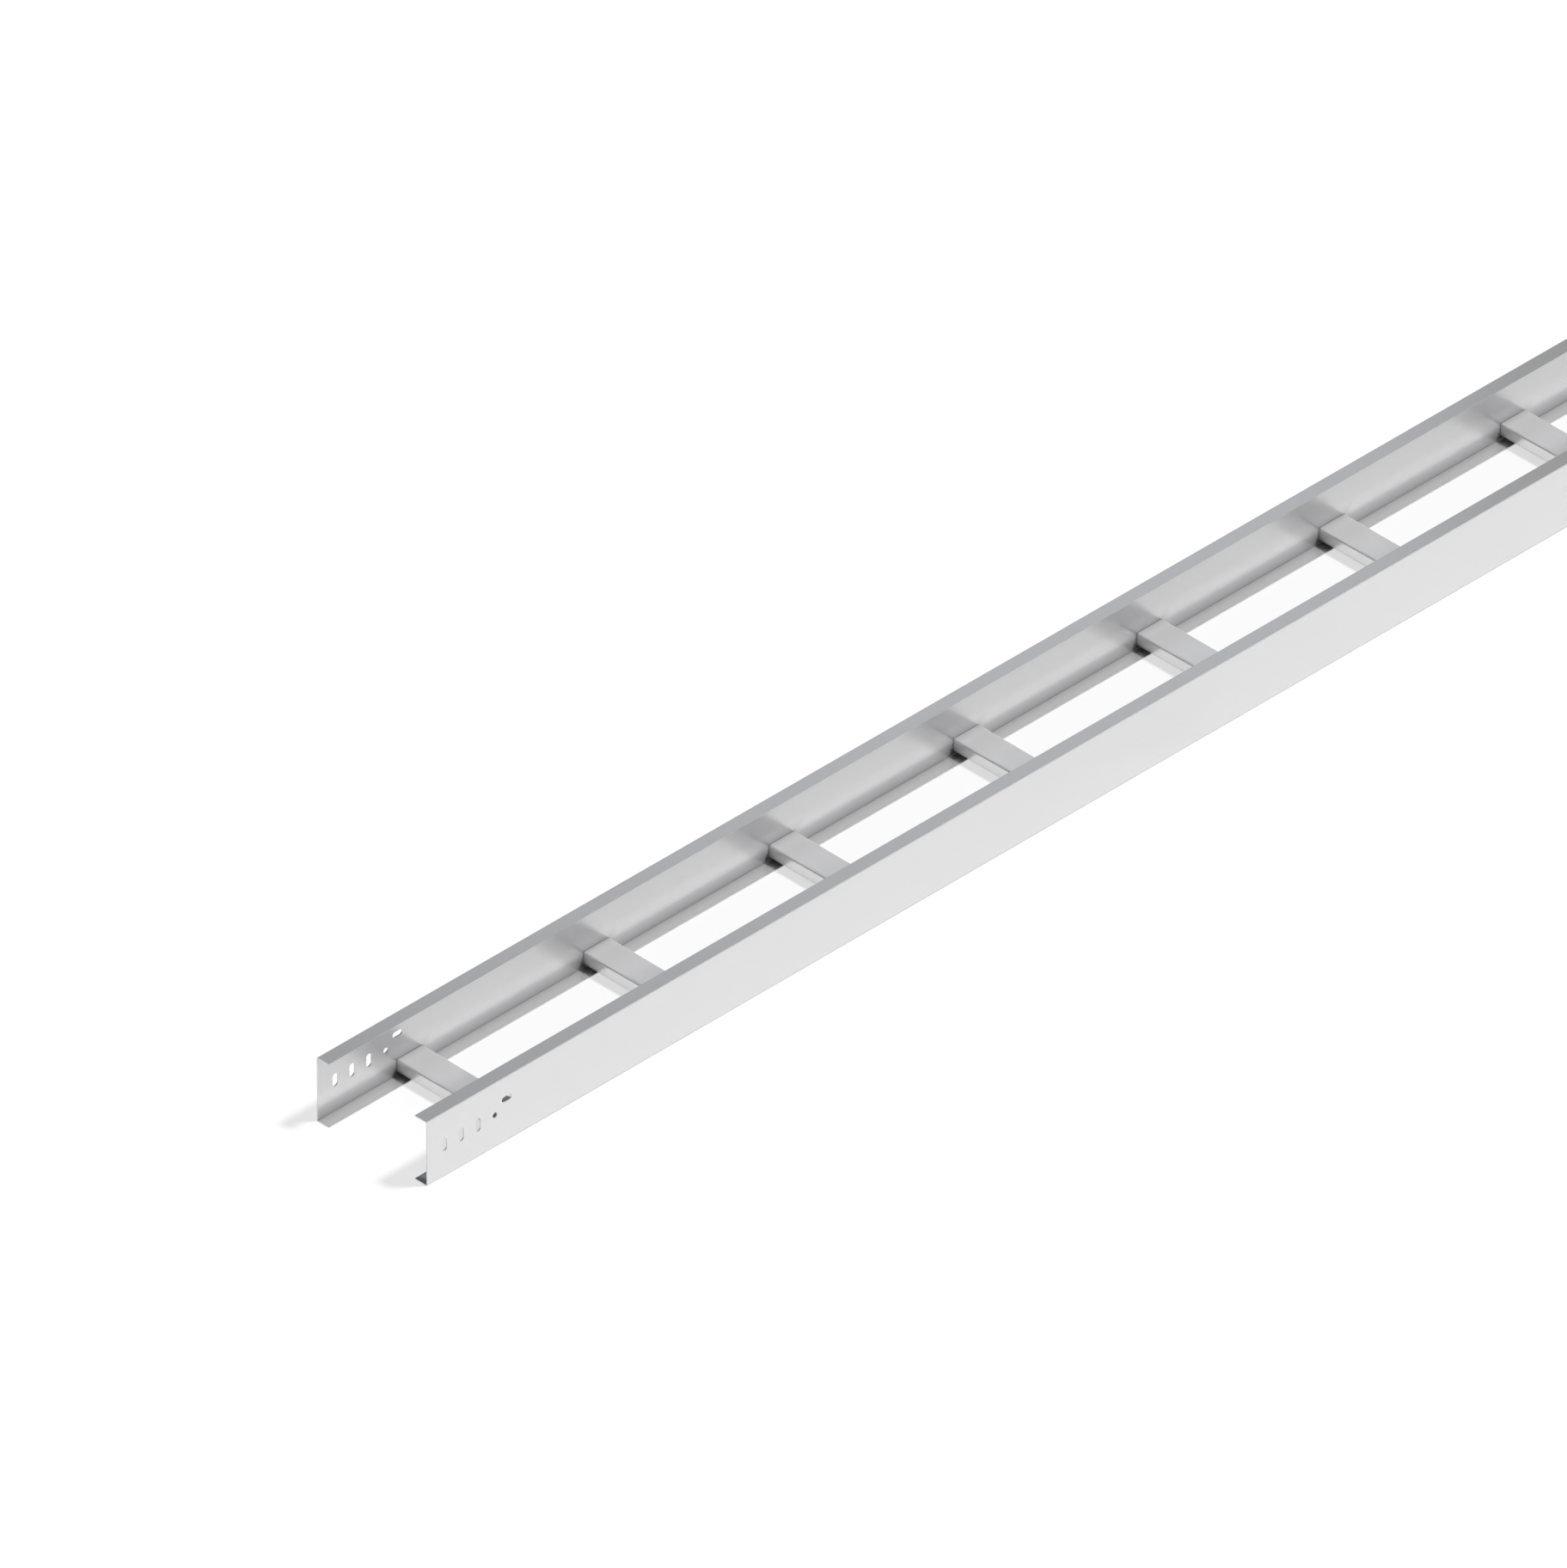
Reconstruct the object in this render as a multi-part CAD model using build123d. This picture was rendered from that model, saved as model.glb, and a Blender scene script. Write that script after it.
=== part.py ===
from build123d import *
import os

# Straight section of cable ladder in galvanised sheet steel.
# Two side rails, folded to a C with their flanges turned inward, are joined
# by rungs, folded to a lipped channel that opens downward.
# X runs along the ladder, Y across it and Z up.
# The origin is the middle of the ladder, on the floor that it lies on.
# All sizes are in millimetres.

# Whole ladder
ladder_length = 3000.0
ladder_width = 200.0

# Side rail
rail_height = 100.0
rail_flange = 22.0
rail_sheet = 1.5
rail_bend_outside = 1.7

# Rung
rung_count = 9
rung_pitch = 334.0
rung_width = 47.0
rung_depth = 20.0
rung_mouth = 22.0
rung_sheet = 1.5
rung_bend_outside = 3.0
rung_top_height = 26.0

# Openings in each rail's web, with places measured from the rail's end
upright_slot_places = (31.0, 61.0, 91.0)
upright_slot_length = 20.0
upright_slot_width = 9.0
round_hole_place = 121.0
round_hole_diameter = 8.0
web_opening_height = 50.0
long_slot_place = 142.0
long_slot_length = 17.0
long_slot_width = 8.5
long_slot_height = 66.0

# Sizes that follow
half_length = ladder_length / 2
half_width = ladder_width / 2
clear_width = ladder_width - 2 * rail_sheet


def folded_sheet(fold_points, sheet, bend_outside):
    """Section of a folded sheet, drawn along the middle of its thickness."""
    middle_radius = bend_outside - sheet / 2
    middle_line = FilletPolyline(*fold_points, radius=middle_radius)
    return trace(middle_line, line_width=sheet)


def rail_section(side):
    """C section of the rail on one side of the ladder, in the YZ plane; side is -1 or 1."""
    web_y = side * (half_width - rail_sheet / 2)
    tip_y = side * (half_width - rail_flange)
    low_z = rail_sheet / 2
    high_z = rail_height - rail_sheet / 2
    fold_points = [(tip_y, high_z), (web_y, high_z), (web_y, low_z), (tip_y, low_z)]
    return folded_sheet(fold_points, rail_sheet, rail_bend_outside)


def rung_section():
    """Lipped channel with its mouth downward, in the XZ plane."""
    wall_x = (rung_width - rung_sheet) / 2
    lip_x = rung_mouth / 2
    high_z = rung_top_height - rung_sheet / 2
    low_z = rung_top_height - rung_depth + rung_sheet / 2
    fold_points = [
        (-lip_x, low_z),
        (-wall_x, low_z),
        (-wall_x, high_z),
        (wall_x, high_z),
        (wall_x, low_z),
        (lip_x, low_z),
    ]
    return folded_sheet(fold_points, rung_sheet, rung_bend_outside)


def web_openings():
    """Outlines of the slots and holes at both ends of a web, in the XZ plane."""
    outlines = []
    for end in (-1, 1):
        for place in upright_slot_places:
            spot = Pos(end * (half_length - place), web_opening_height)
            outlines.append(spot * SlotOverall(upright_slot_length, upright_slot_width, rotation=90))
        spot = Pos(end * (half_length - round_hole_place), web_opening_height)
        outlines.append(spot * Circle(round_hole_diameter / 2))
        spot = Pos(end * (half_length - long_slot_place), long_slot_height)
        outlines.append(spot * SlotOverall(long_slot_length, long_slot_width))
    return outlines


def side_rail(side):
    """One rail with the openings cut through its web."""
    rail = extrude(Plane.YZ * rail_section(side), half_length, both=True)
    for outline in web_openings():
        rail -= extrude(Plane.XZ * outline, ladder_width, both=True)
    return rail


def rung(number):
    """One rung, which butts against both webs; number counts from the first, at the low X end."""
    middle = (number - (rung_count + 1) / 2) * rung_pitch
    section = Plane.XZ * Pos(middle, 0) * rung_section()
    return extrude(section, clear_width / 2, both=True)


def ladder():
    """Every piece of the ladder by name."""
    pieces = {"side_rail_left": side_rail(1), "side_rail_right": side_rail(-1)}
    for number in range(1, rung_count + 1):
        pieces[f"rung_{number}"] = rung(number)
    return pieces


os.makedirs("parts", exist_ok=True)
for name, piece in ladder().items():
    export_step(piece, f"parts/{name}.step")
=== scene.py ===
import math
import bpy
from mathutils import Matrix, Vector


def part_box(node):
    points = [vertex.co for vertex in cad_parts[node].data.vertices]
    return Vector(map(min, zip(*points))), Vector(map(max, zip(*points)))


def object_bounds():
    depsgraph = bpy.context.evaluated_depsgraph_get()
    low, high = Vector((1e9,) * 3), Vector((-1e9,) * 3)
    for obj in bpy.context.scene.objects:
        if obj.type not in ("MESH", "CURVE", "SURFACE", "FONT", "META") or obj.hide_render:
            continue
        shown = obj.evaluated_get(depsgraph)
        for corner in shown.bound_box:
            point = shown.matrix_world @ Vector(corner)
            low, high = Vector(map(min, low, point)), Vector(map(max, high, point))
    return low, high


bl_info = {
    "name": "Galvanised Cable Ladder",
    "version": (1, 0, 0),
    "blender": (4, 5, 0),
    "location": "View3D > Sidebar > Ladder",
    "description": "Finishes a straight section of galvanised cable ladder, on a studio floor",
    "category": "Object",
}

import bpy
from bpy.props import FloatProperty, FloatVectorProperty, PointerProperty
from mathutils import Euler, Vector

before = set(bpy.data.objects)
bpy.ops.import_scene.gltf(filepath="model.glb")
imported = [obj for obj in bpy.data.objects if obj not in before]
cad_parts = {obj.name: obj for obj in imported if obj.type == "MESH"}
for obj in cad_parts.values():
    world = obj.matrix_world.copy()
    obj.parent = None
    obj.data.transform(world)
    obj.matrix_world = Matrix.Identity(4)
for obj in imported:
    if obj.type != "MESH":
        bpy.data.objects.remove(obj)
cad_low, cad_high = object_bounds()

MM = 0.001

# The photograph's frame, in pixels
PHOTO_WIDTH = 1823
PHOTO_HEIGHT = 1824

# Nearest and farthest things that the camera shows, in metres
CLIP_NEAR = 1.0
CLIP_FAR = 200.0

# How far the floor lies below the ladder's flanges
FLOOR_GAP = 0.1 * MM

# A point nearer to a face than this counts as on it
FACE_TOLERANCE = 0.5 * MM

# A cut edge's normal leans out of the sheet's plane by less than this
EDGE_LEAN = 0.1

# These keep a rail's sawn ends and its flanges from being taken for the holes' walls
RAIL_END_MARGIN = 1 * MM
FLANGE_MARGIN = 3 * MM

# Height within which a rung's lips lie, above its lowest point
LIP_REACH = 2 * MM

# Places of a Mix node's colour sockets, whose names its other sockets have too
MIX_A = 6
MIX_B = 7
MIX_RESULT = 2

# Octaves of the noise in the coat, and the shares of clouds and spangle in its dullness
STREAK_OCTAVES = 3.0
CLOUD_OCTAVES = 2.0
CLOUD_SHARE = 0.5
SPANGLE_SHARE = 0.2

# Nearly all of the sheet's dullness lies between these, where 0 is clean and 1 is dull
DULLNESS_LOW = 0.3
DULLNESS_HIGH = 0.7

# The painted shade at a crease or joint: the tone of its line next to the rest of the shade,
# the share of the shade's width that the line takes, and where the shade is half faded
SHADE_LINE_TONE = 0.7
SHADE_LINE_SHARE = 0.1
SHADE_HALF_FADED = 0.45

# A bend starts and is full where its normal's two parts, multiplied, pass these; midway it is 0.5
BEND_START = 0.2
BEND_FULL = 0.45

# Cosines of the angles from its middle at which the room's glow ends and is full
GLOW_END = 0.75
GLOW_FULL = 0.95

SIDE_RAILS = ("side_rail_left", "side_rail_right")
RUNGS = tuple(sorted(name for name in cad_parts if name.startswith("rung_")))
MIDDLE_RUNG = RUNGS[len(RUNGS) // 2]


def rung_middle(name):
    """Place of a rung's middle along the ladder."""
    low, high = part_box(name)
    return (low.x + high.x) / 2


RUNG_PITCH = rung_middle(RUNGS[1]) - rung_middle(RUNGS[0])


def linear(hex_colour):
    """Turns an sRGB hex colour into linear red, green and blue."""
    channels = [int(hex_colour[i : i + 2], 16) / 255 for i in (1, 3, 5)]
    return tuple(c / 12.92 if c <= 0.04045 else ((c + 0.055) / 1.055) ** 2.4 for c in channels)


def opaque(colour):
    """Adds a full alpha to red, green and blue."""
    return (*colour, 1.0)


class LadderFinish(bpy.types.PropertyGroup):
    """The zinc coat on the ladder's folded sheet."""

    rail_zinc: FloatVectorProperty(
        name="Rail zinc",
        description="Colour of the rails' coat where it is cleanest",
        subtype="COLOR",
        size=3,
        default=linear("#EDEDEE"),
    )
    # Painted light: this is paler than the rails' zinc, though both are the same sheet, so that the rungs
    # come out brighter
    rung_zinc: FloatVectorProperty(
        name="Rung zinc",
        description="Colour of the rungs' coat where it is cleanest",
        subtype="COLOR",
        size=3,
        default=linear("#FAFAFB"),
    )
    dulling: FloatProperty(
        name="Dulling",
        description="How much darker the coat is where its oxide is thickest",
        subtype="FACTOR",
        min=0.0,
        max=1.0,
        default=0.04,
    )
    cut_edge: FloatVectorProperty(
        name="Cut edge",
        description="Colour of the holes' walls and the lips' edges, where tools wipe zinc over the steel",
        subtype="COLOR",
        size=3,
        default=linear("#DCDEE0"),
    )
    # Painted shade beside creases and rung joints, set in the coat's colour: how light it leaves the coat
    painted_shade_tone: FloatProperty(
        name="Mark tone",
        description="How light the coat stays beside creases and joints, where 1 is as light as elsewhere",
        subtype="FACTOR",
        min=0.0,
        max=1.0,
        default=0.82,
    )
    # How far that painted shade reaches from a crease or joint
    painted_shade_width: FloatProperty(
        name="Mark width",
        description="How far the darker coat reaches from a crease or joint",
        unit="LENGTH",
        default=14 * MM,
    )
    rail_metal_share: FloatProperty(
        name="Rail metal share",
        description="How much of a rail's coat mirrors like metal; the rest is matt oxide",
        subtype="FACTOR",
        min=0.0,
        max=1.0,
        default=0.67,
    )
    rung_metal_share: FloatProperty(
        name="Rung metal share",
        description="How much of a rung's coat mirrors like metal; the rest is matt oxide",
        subtype="FACTOR",
        min=0.0,
        max=1.0,
        default=0.62,
    )
    bend_metal_share: FloatProperty(
        name="Bend metal share",
        description="How much of the coat mirrors on the bends, where folding has crazed it",
        subtype="FACTOR",
        min=0.0,
        max=1.0,
        default=0.4,
    )
    roughness: FloatProperty(
        name="Roughness",
        description="Roughness of the skin-passed coat",
        subtype="FACTOR",
        min=0.0,
        max=1.0,
        default=0.25,
    )
    roughness_spread: FloatProperty(
        name="Roughness spread",
        description="How much the coat's roughness wanders either way",
        subtype="FACTOR",
        min=0.0,
        max=1.0,
        default=0.015,
    )
    streak_width: FloatProperty(
        name="Rolling streak width",
        description="Spacing of the faint streaks that the mill's rolls leave",
        unit="LENGTH",
        default=4 * MM,
    )
    streak_length: FloatProperty(
        name="Rolling streak length",
        description="Length of those streaks along the rolling direction",
        unit="LENGTH",
        default=350 * MM,
    )
    cloud_size: FloatProperty(
        name="Cloud size",
        description="Size of the patches where the coat is a little duller",
        unit="LENGTH",
        default=90 * MM,
    )
    spangle_size: FloatProperty(
        name="Spangle size",
        description="Size of the zinc's crystals, coarser than the real ones so that they show",
        unit="LENGTH",
        default=2.5 * MM,
    )


class LadderStudio(bpy.types.PropertyGroup):
    """The floor, the light and the camera."""

    floor_size: FloatProperty(
        name="Floor size",
        description="Side of the square floor",
        unit="LENGTH",
        default=120.0,
    )
    paper_colour: FloatVectorProperty(
        name="Paper",
        description="Colour of the floor's paper, in the light that it sends on to the ladder's matt coat",
        subtype="COLOR",
        size=3,
        default=linear("#B0B0B0"),
    )
    floor_glow: FloatProperty(
        name="Floor glow",
        description="Share of the floor's white that shadows don't touch",
        subtype="FACTOR",
        default=0.76,
    )
    floor_shade: FloatProperty(
        name="Floor shade",
        description="Share of the floor's white that comes from the lamps and so takes shadows",
        subtype="FACTOR",
        default=0.24,
    )
    # Painted shade: the floor's white is lowered between the rails
    bay_loss: FloatProperty(
        name="Bay loss",
        description="Share of the floor's white that is lost between the rails",
        subtype="FACTOR",
        default=0.08,
    )
    # Painted shadow: a strip of floor inside the near rail that takes no lamp light
    strip_width: FloatProperty(
        name="Strip width",
        description="Width of the shaded strip of floor inside the near rail",
        unit="LENGTH",
        default=72 * MM,
    )
    strip_start: FloatProperty(
        name="Strip start",
        description="How far inside the ladder's ends that strip starts, beside the web",
        unit="LENGTH",
        default=4 * MM,
    )
    strip_fade: FloatProperty(
        name="Strip fade",
        description="Width over which that strip fades in at its inner side and its ends",
        unit="LENGTH",
        default=20 * MM,
    )
    room_colour: FloatVectorProperty(
        name="Room",
        description="Colour of the studio's dark walls and ceiling, as the metal mirrors them",
        subtype="COLOR",
        size=3,
        default=linear("#282828"),
    )
    glow_side: FloatVectorProperty(
        name="Glow side",
        description="Direction of the paler part of the room, in ladder axes",
        subtype="DIRECTION",
        size=3,
        default=(1.0, -1.0, 1.0),
    )
    glow_colour: FloatVectorProperty(
        name="Glow",
        description="Colour of the paler part of the room",
        subtype="COLOR",
        size=3,
        default=linear("#8C8C8C"),
    )
    panel_spot: FloatVectorProperty(
        name="Panel spot",
        description="Middle of the soft panel that shows in the flanges' tops, in ladder axes",
        subtype="TRANSLATION",
        unit="LENGTH",
        size=3,
        default=(1.0, 1.6, 1.4),
    )
    panel_aim: FloatVectorProperty(
        name="Panel aim",
        description="Point on the ladder that the soft panel faces",
        subtype="TRANSLATION",
        unit="LENGTH",
        size=3,
        default=(-0.2, 0.0, 0.1),
    )
    panel_size: FloatVectorProperty(
        name="Panel size",
        description="Width and height of the soft panel",
        unit="LENGTH",
        size=2,
        default=(1.6, 1.0),
    )
    panel_brightness: FloatProperty(
        name="Panel brightness",
        description="How bright the soft panel looks, where 1 is white",
        default=0.33,
    )
    panel_colour: FloatVectorProperty(
        name="Panel colour",
        description="Colour of the soft panel, a little cool",
        subtype="COLOR",
        size=3,
        default=linear("#EDF2FA"),
    )
    lamp_slant: FloatVectorProperty(
        name="Lamp slant",
        description="Where the main lamp stands from the ladder, in ladder axes",
        subtype="DIRECTION",
        size=3,
        default=(0.39, -0.32, 1.0),
    )
    lamp_strength: FloatProperty(
        name="Lamp strength",
        description="Strength of the main lamp",
        default=3.75,
    )
    lamp_angle: FloatProperty(
        name="Lamp angle",
        description="Width of the main lamp as the ladder sees it",
        subtype="ANGLE",
        default=math.radians(9.0),
    )
    view_azimuth: FloatProperty(
        name="View azimuth",
        description="Direction that the camera stands in, turned from the ladder's near side",
        subtype="ANGLE",
        default=math.radians(-44.79),
    )
    view_elevation: FloatProperty(
        name="View elevation",
        description="Height of the camera above the horizon",
        subtype="ANGLE",
        default=math.radians(35.41),
    )
    view_distance: FloatProperty(
        name="View distance",
        description="Depth of the near rail's lower corner from the camera",
        unit="LENGTH",
        default=66.41,
    )
    lens: FloatProperty(
        name="Lens",
        description="Focal length in millimetres, long enough for a nearly parallel view",
        default=1200.0,
    )
    corner_pixel: FloatVectorProperty(
        name="Corner pixel",
        description="Place of the near rail's lower corner in the photograph's frame",
        size=2,
        default=(497.0, 1380.0),
    )


def add_node(tree, kind, settings=None, inputs=None):
    """Adds a node, sets its settings, and sets or links its inputs."""
    node = tree.nodes.new(kind)
    for name, value in (settings or {}).items():
        setattr(node, name, value)
    for name, value in (inputs or {}).items():
        if isinstance(value, bpy.types.NodeSocket):
            tree.links.new(value, node.inputs[name])
        else:
            node.inputs[name].default_value = value
    return node


def new_material(name):
    """An empty node material."""
    material = bpy.data.materials.new(name)
    material.use_nodes = True
    material.node_tree.nodes.clear()
    return material


def rail_painted_shade_distance(tree, place):
    """Distance inside a rail from its lower crease, or on its web from the nearest rung's outline, for the
    painted shade there.
    """
    rung_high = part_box(MIDDLE_RUNG)[1]
    sheet = cad_high.y - rung_high.y

    # Each bay is folded onto the middle one, so that one rung's outline stands for all
    bay = add_node(
        tree,
        "ShaderNodeVectorMath",
        {"operation": "WRAP"},
        {0: place, 1: (RUNG_PITCH / 2, 1, 1), 2: (-RUNG_PITCH / 2, -1, -1)},
    )
    bay = add_node(tree, "ShaderNodeVectorMath", {"operation": "ABSOLUTE"}, {0: bay.outputs["Vector"]})
    from_rung = add_node(
        tree,
        "ShaderNodeVectorMath",
        {"operation": "SUBTRACT"},
        {0: bay.outputs["Vector"], 1: rung_high},
    )
    past = add_node(tree, "ShaderNodeSeparateXYZ", inputs={"Vector": from_rung.outputs["Vector"]}).outputs
    outline = add_node(tree, "ShaderNodeMath", {"operation": "MAXIMUM"}, {0: past["X"], 1: past["Z"]})

    # The outline is on the web's inner face alone, so off it a metre is added
    on_face = add_node(
        tree,
        "ShaderNodeMath",
        {"operation": "COMPARE"},
        {0: past["Y"], 1: 0.0, 2: FACE_TOLERANCE},
    )
    off_face = add_node(
        tree,
        "ShaderNodeMath",
        {"operation": "SUBTRACT"},
        {0: 1.0, 1: on_face.outputs[0]},
    )
    outline = add_node(
        tree,
        "ShaderNodeMath",
        {"operation": "ADD"},
        {0: outline.outputs[0], 1: off_face.outputs[0]},
    )

    # The crease lies where the web's inner face meets the lower flange, one sheet up
    across = add_node(tree, "ShaderNodeMath", {"operation": "MULTIPLY"}, {0: past["Y"], 1: -1.0})
    up = add_node(
        tree,
        "ShaderNodeMath",
        {"operation": "ADD"},
        {0: past["Z"], 1: rung_high.z - sheet},
    )
    crease = add_node(
        tree,
        "ShaderNodeMath",
        {"operation": "MAXIMUM"},
        {0: across.outputs[0], 1: up.outputs[0]},
    )
    nearest = add_node(
        tree,
        "ShaderNodeMath",
        {"operation": "MINIMUM"},
        {0: crease.outputs[0], 1: outline.outputs[0]},
    )

    # A rail's outer faces have no painted shade, so there a metre is added too
    outside = add_node(
        tree,
        "ShaderNodeMath",
        {"operation": "GREATER_THAN"},
        {0: past["Y"], 1: FACE_TOLERANCE},
    )
    nearest = add_node(
        tree,
        "ShaderNodeMath",
        {"operation": "ADD"},
        {0: nearest.outputs[0], 1: outside.outputs[0]},
    )
    return nearest.outputs[0]


def rung_painted_shade_distance(tree, place):
    """Distance along a rung from the nearer of the two webs, for the painted shade at its joints."""
    spot = add_node(tree, "ShaderNodeSeparateXYZ", inputs={"Vector": place}).outputs
    from_middle = add_node(tree, "ShaderNodeMath", {"operation": "ABSOLUTE"}, {0: spot["Y"]})
    distance = add_node(
        tree,
        "ShaderNodeMath",
        {"operation": "SUBTRACT"},
        {0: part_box(MIDDLE_RUNG)[1].y, 1: from_middle.outputs[0]},
    )
    return distance.outputs[0]


def where_all_within(tree, limits):
    """One where each value lies within its reach of its middle, and zero elsewhere."""
    everywhere = 1.0
    for value, middle, reach in limits:
        within = add_node(
            tree,
            "ShaderNodeMath",
            {"operation": "COMPARE"},
            {0: value, 1: middle, 2: reach},
        )
        both = add_node(
            tree,
            "ShaderNodeMath",
            {"operation": "MULTIPLY"},
            {0: everywhere, 1: within.outputs[0]},
        )
        everywhere = both.outputs[0]
    return everywhere


def rail_cut_edges(tree, spot, facing):
    """One on the walls of the holes punched through a rail's web."""
    middle_height = cad_high.z / 2
    limits = (
        (spot["X"], 0.0, cad_high.x - RAIL_END_MARGIN),
        (spot["Z"], middle_height, middle_height - FLANGE_MARGIN),
        (facing["Y"], 0.0, EDGE_LEAN),
    )
    return where_all_within(tree, limits)


def rung_cut_edges(tree, spot, facing):
    """One on the edges of a rung's lips, under it."""
    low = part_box(MIDDLE_RUNG)[0]
    limits = (
        (spot["Z"], low.z, LIP_REACH),
        (facing["Z"], 0.0, EDGE_LEAN),
    )
    return where_all_within(tree, limits)


def galvanised_sheet(name, finish, clean_zinc, metal_share, rolling_axis, painted_shade_distance, cut_edges):
    """Mill-galvanised sheet steel, hot dipped in zinc and skin-passed smooth.

    To the eye it is a clean pale grey that mirrors what is near it, softly, with faint
    streaks along the rolling direction, slow clouds of duller zinc, and painted shade
    along the inside creases and round each welded joint.
    """
    material = new_material(name)
    tree = material.node_tree
    place = add_node(tree, "ShaderNodeTexCoord")
    spot = add_node(tree, "ShaderNodeSeparateXYZ", inputs={"Vector": place.outputs["Object"]}).outputs
    facing = add_node(tree, "ShaderNodeSeparateXYZ", inputs={"Vector": place.outputs["Normal"]}).outputs

    # The streaks run along the rolling direction
    streak_scale = [1 / finish.streak_width] * 3
    streak_scale[rolling_axis] = 1 / finish.streak_length
    stretched = add_node(
        tree,
        "ShaderNodeMapping",
        inputs={"Vector": place.outputs["Object"], "Scale": streak_scale},
    )
    streaks = add_node(
        tree,
        "ShaderNodeTexNoise",
        inputs={"Vector": stretched.outputs["Vector"], "Scale": 1.0, "Detail": STREAK_OCTAVES},
    )
    clouds = add_node(
        tree,
        "ShaderNodeTexNoise",
        inputs={
            "Vector": place.outputs["Object"],
            "Scale": 1 / finish.cloud_size,
            "Detail": CLOUD_OCTAVES,
        },
    )

    # The real spangle is under a millimetre, too fine to show, so it is drawn coarser
    spangle = add_node(
        tree,
        "ShaderNodeTexVoronoi",
        inputs={"Vector": place.outputs["Object"], "Scale": 1 / finish.spangle_size},
    )
    crystal = add_node(tree, "ShaderNodeSeparateColor", inputs={"Color": spangle.outputs["Color"]})

    # Dullness, from 0 on clean zinc to 1 where the oxide is thickest
    streaks_and_clouds = add_node(
        tree,
        "ShaderNodeMix",
        inputs={"Factor": CLOUD_SHARE, "A": streaks.outputs["Fac"], "B": clouds.outputs["Fac"]},
    )
    dullness = add_node(
        tree,
        "ShaderNodeMix",
        inputs={
            "Factor": SPANGLE_SHARE,
            "A": streaks_and_clouds.outputs["Result"],
            "B": crystal.outputs["Red"],
        },
    )
    dull_zinc = Vector(clean_zinc) * (1 - finish.dulling)
    zinc = add_node(
        tree,
        "ShaderNodeMix",
        {"data_type": "RGBA"},
        {0: dullness.outputs["Result"], MIX_A: opaque(clean_zinc), MIX_B: opaque(dull_zinc)},
    )

    # Painted shade, darkest in the line of a crease or joint and fading out from it
    reach = add_node(
        tree,
        "ShaderNodeMath",
        {"operation": "DIVIDE"},
        {0: painted_shade_distance(tree, place.outputs["Object"]), 1: finish.painted_shade_width},
    )
    tone = add_node(tree, "ShaderNodeValToRGB", inputs={"Fac": reach.outputs[0]})
    fading = (
        (0.0, finish.painted_shade_tone * SHADE_LINE_TONE),
        (SHADE_LINE_SHARE, finish.painted_shade_tone),
        (SHADE_HALF_FADED, (1 + finish.painted_shade_tone) / 2),
        (1.0, 1.0),
    )
    steps = tone.color_ramp.elements
    for share, _ in fading[1:-1]:
        steps.new(share)
    for step, (_, grey) in zip(steps, fading):
        step.color = opaque((grey,) * 3)
    shaded_zinc = add_node(
        tree,
        "ShaderNodeMix",
        {"data_type": "RGBA", "blend_type": "MULTIPLY"},
        {0: 1.0, MIX_A: zinc.outputs[MIX_RESULT], MIX_B: tone.outputs["Color"]},
    )
    sheet_colour = add_node(
        tree,
        "ShaderNodeMix",
        {"data_type": "RGBA"},
        {
            0: cut_edges(tree, spot, facing),
            MIX_A: shaded_zinc.outputs[MIX_RESULT],
            MIX_B: opaque(finish.cut_edge),
        },
    )
    roughness = add_node(
        tree,
        "ShaderNodeMapRange",
        inputs={
            "Value": dullness.outputs["Result"],
            "From Min": DULLNESS_LOW,
            "From Max": DULLNESS_HIGH,
            "To Min": finish.roughness - finish.roughness_spread,
            "To Max": finish.roughness + finish.roughness_spread,
        },
    )

    # Folding crazes the coat on the bends, so they are paler and more matt than the flat sheet
    side = "YX"[rolling_axis]
    bend = add_node(tree, "ShaderNodeMath", {"operation": "MULTIPLY"}, {0: facing[side], 1: facing["Z"]})
    bend = add_node(tree, "ShaderNodeMath", {"operation": "ABSOLUTE"}, {0: bend.outputs[0]})
    mirror = add_node(
        tree,
        "ShaderNodeMapRange",
        inputs={
            "Value": bend.outputs[0],
            "From Min": BEND_START,
            "From Max": BEND_FULL,
            "To Min": metal_share,
            "To Max": finish.bend_metal_share,
        },
    )
    surface = add_node(
        tree,
        "ShaderNodeBsdfPrincipled",
        inputs={
            "Base Color": sheet_colour.outputs[MIX_RESULT],
            "Metallic": mirror.outputs["Result"],
            "Roughness": roughness.outputs["Result"],
        },
    )
    add_node(tree, "ShaderNodeOutputMaterial", inputs={"Surface": surface.outputs["BSDF"]})
    return material


def seen_directly(tree):
    """One for rays from the camera or off the metal, unless they have met a matt surface."""
    path = add_node(tree, "ShaderNodeLightPath").outputs
    seen = add_node(
        tree,
        "ShaderNodeMath",
        {"operation": "MAXIMUM"},
        {0: path["Is Camera Ray"], 1: path["Is Glossy Ray"]},
    )
    seen = add_node(
        tree,
        "ShaderNodeMath",
        {"operation": "MAXIMUM"},
        {0: seen.outputs[0], 1: path["Is Transmission Ray"]},
    )

    # The depth is a whole number, and 0 before the first matt surface
    direct = add_node(
        tree,
        "ShaderNodeMath",
        {"operation": "LESS_THAN"},
        {0: path["Diffuse Depth"], 1: 0.5},
    )
    seen = add_node(
        tree,
        "ShaderNodeMath",
        {"operation": "MULTIPLY"},
        {0: seen.outputs[0], 1: direct.outputs[0]},
    )
    return seen.outputs[0]


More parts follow.
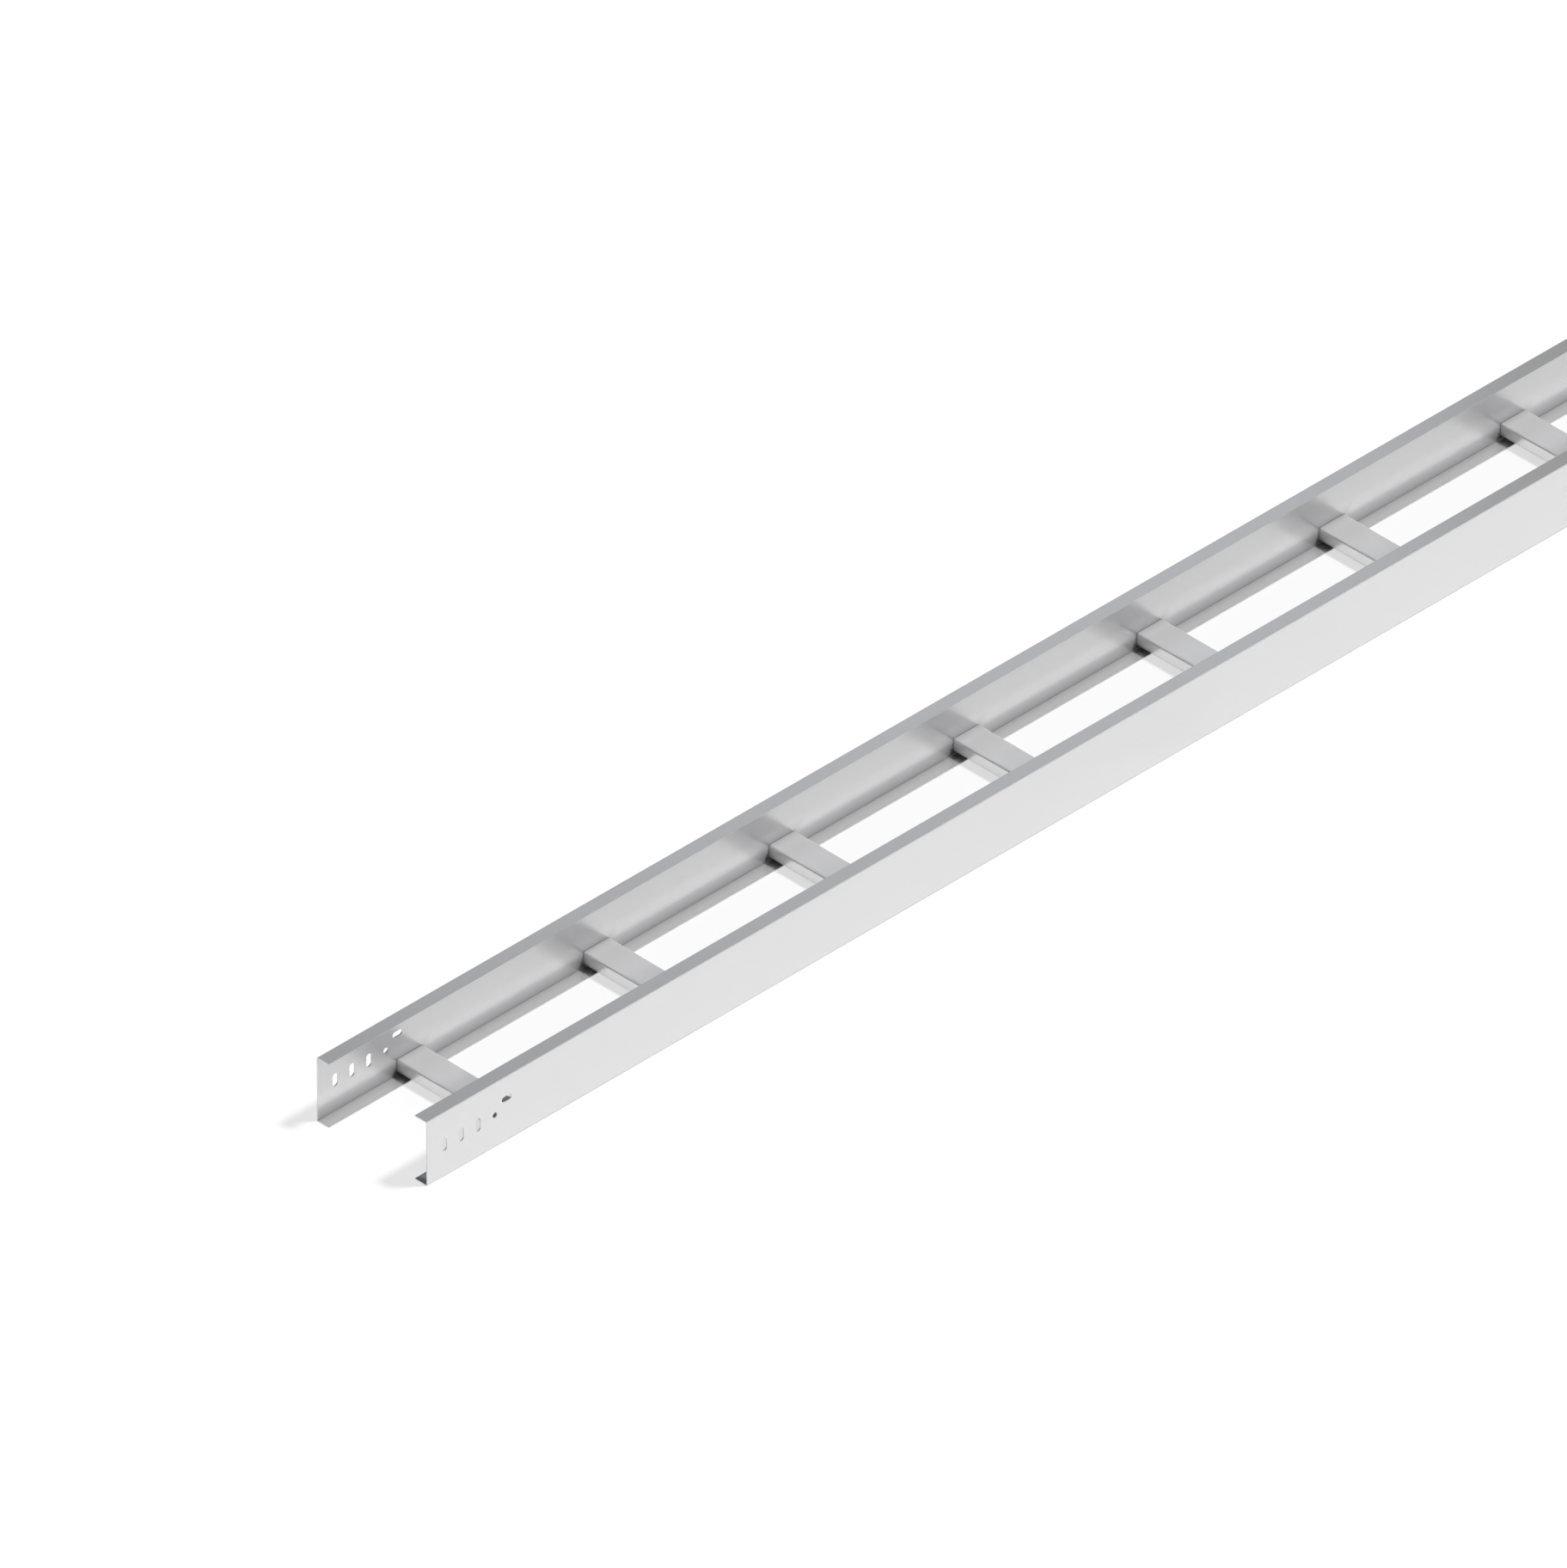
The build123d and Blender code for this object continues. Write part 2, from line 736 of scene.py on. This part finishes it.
def paper_glow(tree, studio, from_middle, between_rails):
    """The paper's own white, with painted shade between the rails that fades in up to the end rungs."""
    depth = add_node(
        tree,
        "ShaderNodeMapRange",
        inputs={
            "Value": from_middle,
            "From Min": abs(rung_middle(RUNGS[0])),
            "From Max": cad_high.x,
            "To Min": 1.0,
            "To Max": 0.0,
        },
    )
    # Painted shade between the rails, fading in from the ladder's ends
    in_bay = add_node(
        tree,
        "ShaderNodeMath",
        {"operation": "MULTIPLY"},
        {0: depth.outputs["Result"], 1: between_rails},
    )
    strength = add_node(
        tree,
        "ShaderNodeMapRange",
        inputs={
            "Value": in_bay.outputs[0],
            "To Min": studio.floor_glow,
            "To Max": studio.floor_glow - studio.bay_loss,
        },
    )
    glow = add_node(tree, "ShaderNodeEmission", inputs={"Strength": strength.outputs["Result"]})
    return glow.outputs["Emission"]


def paper_shade(tree, studio, spot, from_middle, between_rails):
    """The white that the lamps give the paper, except on a strip inside the near rail.

    The strip takes none of it, a painted shadow, so that the floor seen through that rail's
    slots is light grey. Its ends slant inward from the web.
    """
    # Painted shadow: the strip inside the near rail gets black in place of the lamps' white
    strip_edge = cad_low.y + studio.strip_width
    past_strip = add_node(
        tree,
        "ShaderNodeMapRange",
        inputs={
            "Value": spot["Y"],
            "From Min": strip_edge,
            "From Max": strip_edge + studio.strip_fade,
        },
    )
    slanted = add_node(tree, "ShaderNodeMath", {"operation": "ADD"}, {0: from_middle, 1: spot["Y"]})
    strip_end = cad_high.x + cad_low.y - studio.strip_start
    past_end = add_node(
        tree,
        "ShaderNodeMapRange",
        inputs={
            "Value": slanted.outputs[0],
            "From Min": strip_end - studio.strip_fade,
            "From Max": strip_end,
        },
    )
    outside = add_node(tree, "ShaderNodeMath", {"operation": "SUBTRACT"}, {0: 1.0, 1: between_rails})
    lit = add_node(
        tree,
        "ShaderNodeMath",
        {"operation": "MAXIMUM"},
        {0: past_strip.outputs["Result"], 1: past_end.outputs["Result"]},
    )
    lit = add_node(
        tree,
        "ShaderNodeMath",
        {"operation": "MAXIMUM"},
        {0: lit.outputs[0], 1: outside.outputs[0]},
    )
    black = (0.0,) * 3
    grey = (studio.floor_shade,) * 3
    colour = add_node(
        tree,
        "ShaderNodeMix",
        {"data_type": "RGBA"},
        {0: lit.outputs[0], MIX_A: opaque(black), MIX_B: opaque(grey)},
    )
    shade = add_node(tree, "ShaderNodeBsdfDiffuse", inputs={"Color": colour.outputs[MIX_RESULT]})
    return shade.outputs["BSDF"]


def seamless_paper(studio):
    """White studio paper, which the camera and the metal see as plain white with soft shadows, some of
    them painted.

    Light that it sends on to matt surfaces comes from the paper's own colour.
    """
    material = new_material("white_studio_paper")
    tree = material.node_tree
    place = add_node(tree, "ShaderNodeTexCoord")
    spot = add_node(tree, "ShaderNodeSeparateXYZ", inputs={"Vector": place.outputs["Object"]}).outputs
    from_middle = add_node(tree, "ShaderNodeMath", {"operation": "ABSOLUTE"}, {0: spot["X"]})
    across = add_node(tree, "ShaderNodeMath", {"operation": "ABSOLUTE"}, {0: spot["Y"]})
    between_rails = add_node(
        tree,
        "ShaderNodeMath",
        {"operation": "LESS_THAN"},
        {0: across.outputs[0], 1: cad_high.y},
    )
    glow = paper_glow(tree, studio, from_middle.outputs[0], between_rails.outputs[0])
    shade = paper_shade(tree, studio, spot, from_middle.outputs[0], between_rails.outputs[0])
    white = add_node(tree, "ShaderNodeAddShader", inputs={0: glow, 1: shade})
    paper = add_node(tree, "ShaderNodeBsdfDiffuse", inputs={"Color": opaque(studio.paper_colour)})
    surface = add_node(
        tree,
        "ShaderNodeMixShader",
        inputs={0: seen_directly(tree), 1: paper.outputs["BSDF"], 2: white.outputs["Shader"]},
    )
    add_node(tree, "ShaderNodeOutputMaterial", inputs={"Surface": surface.outputs["Shader"]})
    return material


def dress(names, material):
    """Gives one material to each named piece of the frame."""
    for name in names:
        for material_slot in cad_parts[name].material_slots:
            material_slot.material = material


def make_floor(studio):
    """A flat square floor just under the ladder's flanges."""
    half = studio.floor_size / 2
    mesh = bpy.data.meshes.new("studio_floor")
    corners = [(-half, -half, 0), (half, -half, 0), (half, half, 0), (-half, half, 0)]
    mesh.from_pydata(corners, [], [(0, 1, 2, 3)])
    floor = bpy.data.objects.new("studio_floor", mesh)
    floor.location.z = cad_low.z - FLOOR_GAP
    mesh.materials.append(seamless_paper(studio))
    bpy.context.scene.collection.objects.link(floor)


def make_lamp(studio):
    """The main lamp, above the near rail's side. The metal's gloss doesn't mirror it."""
    lamp = bpy.data.lights.new("studio_lamp", "SUN")
    lamp.energy = studio.lamp_strength
    lamp.angle = studio.lamp_angle
    holder = bpy.data.objects.new("studio_lamp", lamp)
    holder.rotation_euler = Vector(studio.lamp_slant).to_track_quat("Z", "Y").to_euler()
    holder.visible_glossy = False
    bpy.context.scene.collection.objects.link(holder)


def make_panel(studio):
    """A soft panel behind the far rail, whose reflection makes the flanges' tops paler midway."""
    panel = bpy.data.lights.new("soft_panel", "AREA")
    panel.shape = "RECTANGLE"
    panel.size, panel.size_y = studio.panel_size
    panel.energy = studio.panel_brightness * math.pi * panel.size * panel.size_y
    panel.color = studio.panel_colour
    holder = bpy.data.objects.new("soft_panel", panel)
    holder.location = studio.panel_spot
    back = Vector(studio.panel_spot) - Vector(studio.panel_aim)
    holder.rotation_euler = back.to_track_quat("Z", "Y").to_euler()
    bpy.context.scene.collection.objects.link(holder)


def paint_room(studio):
    """The studio's dark walls and ceiling, with a faint glow on the near side."""
    world = bpy.data.worlds.new("studio_room")
    world.use_nodes = True
    tree = world.node_tree
    tree.nodes.clear()
    place = add_node(tree, "ShaderNodeTexCoord")
    toward_glow = add_node(
        tree,
        "ShaderNodeVectorMath",
        {"operation": "DOT_PRODUCT"},
        {0: place.outputs["Generated"], 1: Vector(studio.glow_side).normalized()},
    )
    glow = add_node(
        tree,
        "ShaderNodeMapRange",
        {"interpolation_type": "SMOOTHSTEP"},
        {"Value": toward_glow.outputs["Value"], "From Min": GLOW_END, "From Max": GLOW_FULL},
    )
    walls = add_node(
        tree,
        "ShaderNodeMix",
        {"data_type": "RGBA"},
        {
            0: glow.outputs["Result"],
            MIX_A: opaque(studio.room_colour),
            MIX_B: opaque(studio.glow_colour),
        },
    )
    room = add_node(
        tree,
        "ShaderNodeBackground",
        inputs={"Color": walls.outputs[MIX_RESULT], "Strength": 1.0},
    )
    add_node(tree, "ShaderNodeOutputWorld", inputs={"Surface": room.outputs["Background"]})
    bpy.context.scene.world = world


def make_camera(studio):
    """A very long lens at the photograph's angle, with the near corner at its pixel."""
    camera = bpy.data.cameras.new("photo_camera")
    camera.lens = studio.lens
    camera.clip_start = CLIP_NEAR
    camera.clip_end = CLIP_FAR
    holder = bpy.data.objects.new("photo_camera", camera)
    turn = Euler((math.pi / 2 - studio.view_elevation, 0, studio.view_azimuth)).to_matrix()
    right, up, back = turn.col
    metres_per_pixel = studio.view_distance * camera.sensor_width / studio.lens / PHOTO_HEIGHT
    across = (studio.corner_pixel[0] - PHOTO_WIDTH / 2) * metres_per_pixel
    down = (studio.corner_pixel[1] - PHOTO_HEIGHT / 2) * metres_per_pixel
    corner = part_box("side_rail_right")[0]
    holder.location = corner + back * studio.view_distance - right * across + up * down
    holder.rotation_euler = turn.to_euler()
    bpy.context.scene.collection.objects.link(holder)
    bpy.context.scene.camera = holder


class LADDER_OT_finish_side_rails(bpy.types.Operator):
    """Finish the two side rails in sheet rolled along their length"""

    bl_idname = "ladder.finish_side_rails"
    bl_label = "Finish side rails"

    def execute(self, context):
        finish = context.scene.ladder_finish
        sheet = galvanised_sheet(
            "galvanised_rail_sheet",
            finish,
            finish.rail_zinc,
            finish.rail_metal_share,
            rolling_axis=0,
            painted_shade_distance=rail_painted_shade_distance,
            cut_edges=rail_cut_edges,
        )
        dress(SIDE_RAILS, sheet)
        return {"FINISHED"}


class LADDER_OT_finish_rungs(bpy.types.Operator):
    """Finish the rungs in sheet rolled along their own length"""

    bl_idname = "ladder.finish_rungs"
    bl_label = "Finish rungs"

    def execute(self, context):
        finish = context.scene.ladder_finish
        sheet = galvanised_sheet(
            "galvanised_rung_sheet",
            finish,
            finish.rung_zinc,
            finish.rung_metal_share,
            rolling_axis=1,
            painted_shade_distance=rung_painted_shade_distance,
            cut_edges=rung_cut_edges,
        )
        dress(RUNGS, sheet)
        return {"FINISHED"}


class LADDER_OT_build_stage(bpy.types.Operator):
    """Build the floor, the lamps, the room and the camera"""

    bl_idname = "ladder.build_stage"
    bl_label = "Build stage"

    def execute(self, context):
        studio = context.scene.ladder_studio
        make_floor(studio)
        make_lamp(studio)
        make_panel(studio)
        paint_room(studio)
        make_camera(studio)
        context.scene.view_settings.view_transform = "Standard"
        return {"FINISHED"}


OPERATORS = (LADDER_OT_finish_side_rails, LADDER_OT_finish_rungs, LADDER_OT_build_stage)


class LADDER_PT_panel(bpy.types.Panel):
    """Lists the steps that finish the ladder"""

    bl_idname = "LADDER_PT_panel"
    bl_label = "Cable Ladder"
    bl_space_type = "VIEW_3D"
    bl_region_type = "UI"
    bl_category = "Ladder"

    def draw(self, context):
        column = self.layout.column()
        for operator in OPERATORS:
            column.operator(operator.bl_idname)
        for settings in (context.scene.ladder_finish, context.scene.ladder_studio):
            for name in settings.bl_rna.properties.keys():
                if name not in ("rna_type", "name"):
                    column.prop(settings, name)


CLASSES = (LadderFinish, LadderStudio, *OPERATORS, LADDER_PT_panel)


def register():
    for each in CLASSES:
        bpy.utils.register_class(each)
    bpy.types.Scene.ladder_finish = PointerProperty(type=LadderFinish)
    bpy.types.Scene.ladder_studio = PointerProperty(type=LadderStudio)


def unregister():
    del bpy.types.Scene.ladder_studio
    del bpy.types.Scene.ladder_finish
    for each in reversed(CLASSES):
        bpy.utils.unregister_class(each)


def main():
    register()
    bpy.ops.ladder.finish_side_rails()
    bpy.ops.ladder.finish_rungs()
    bpy.ops.ladder.build_stage()


if __name__ == "__main__":
    main()
